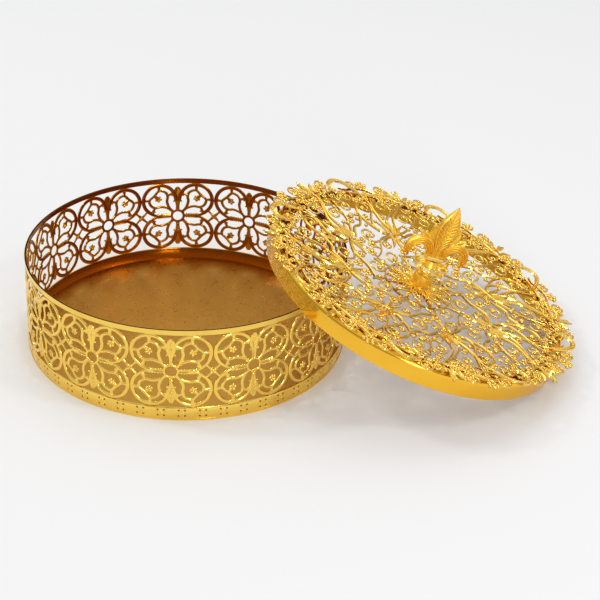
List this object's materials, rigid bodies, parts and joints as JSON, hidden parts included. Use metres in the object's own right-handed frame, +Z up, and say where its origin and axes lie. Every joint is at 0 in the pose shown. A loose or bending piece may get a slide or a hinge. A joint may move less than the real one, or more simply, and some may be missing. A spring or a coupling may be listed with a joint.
{
  "type": "dry fruit box",
  "caption": "Round openwork box for dry fruit with a pierced wall of roundels and a filigree lid, topped by a lily finial, leaning on the rim.",
  "frame": {"origin": "centre of the box's underside, on the surface it stands on", "axes": "+Z up along the box's axis, +X from the box towards the leaning lid"},
  "size_m": [0.2829, 0.1734, 0.0816],
  "materials": {
    "gilt_openwork": "cast and gilt, semi-gloss",
    "gilt_floor": "rolled sheet, gilt, satin",
    "gilt_satin_ring": "spun, gilt, satin",
    "gilt_filigree": "cast filigree, gilt, semi-gloss",
    "gilt_finial": "cast and gilt, semi-gloss",
    "gilt_polished": "polished gilt",
    "plated_steel": "plated steel"
  },
  "bodies": {
    "box": {"base_plate": "gilt_floor", "pierced_wall": "gilt_openwork", "seam_strap": "gilt_floor"},
    "lid": {"lid_ring": "gilt_satin_ring", "lid_filigree": "gilt_filigree", "lid_medallion": "gilt_filigree", "finial_collar": "gilt_finial", "finial_calyx": "gilt_polished", "finial_lily": "gilt_finial", "finial_tie": "gilt_polished", "finial_washer": "plated_steel", "finial_screw": "plated_steel"}
  },
  "joints": [
    {"name": "lid_lift", "type": "slide", "parent": "box", "child": "lid", "axis": [0.3616, 0, 0.9323], "range_m": [0, 0.09]}
  ]
}
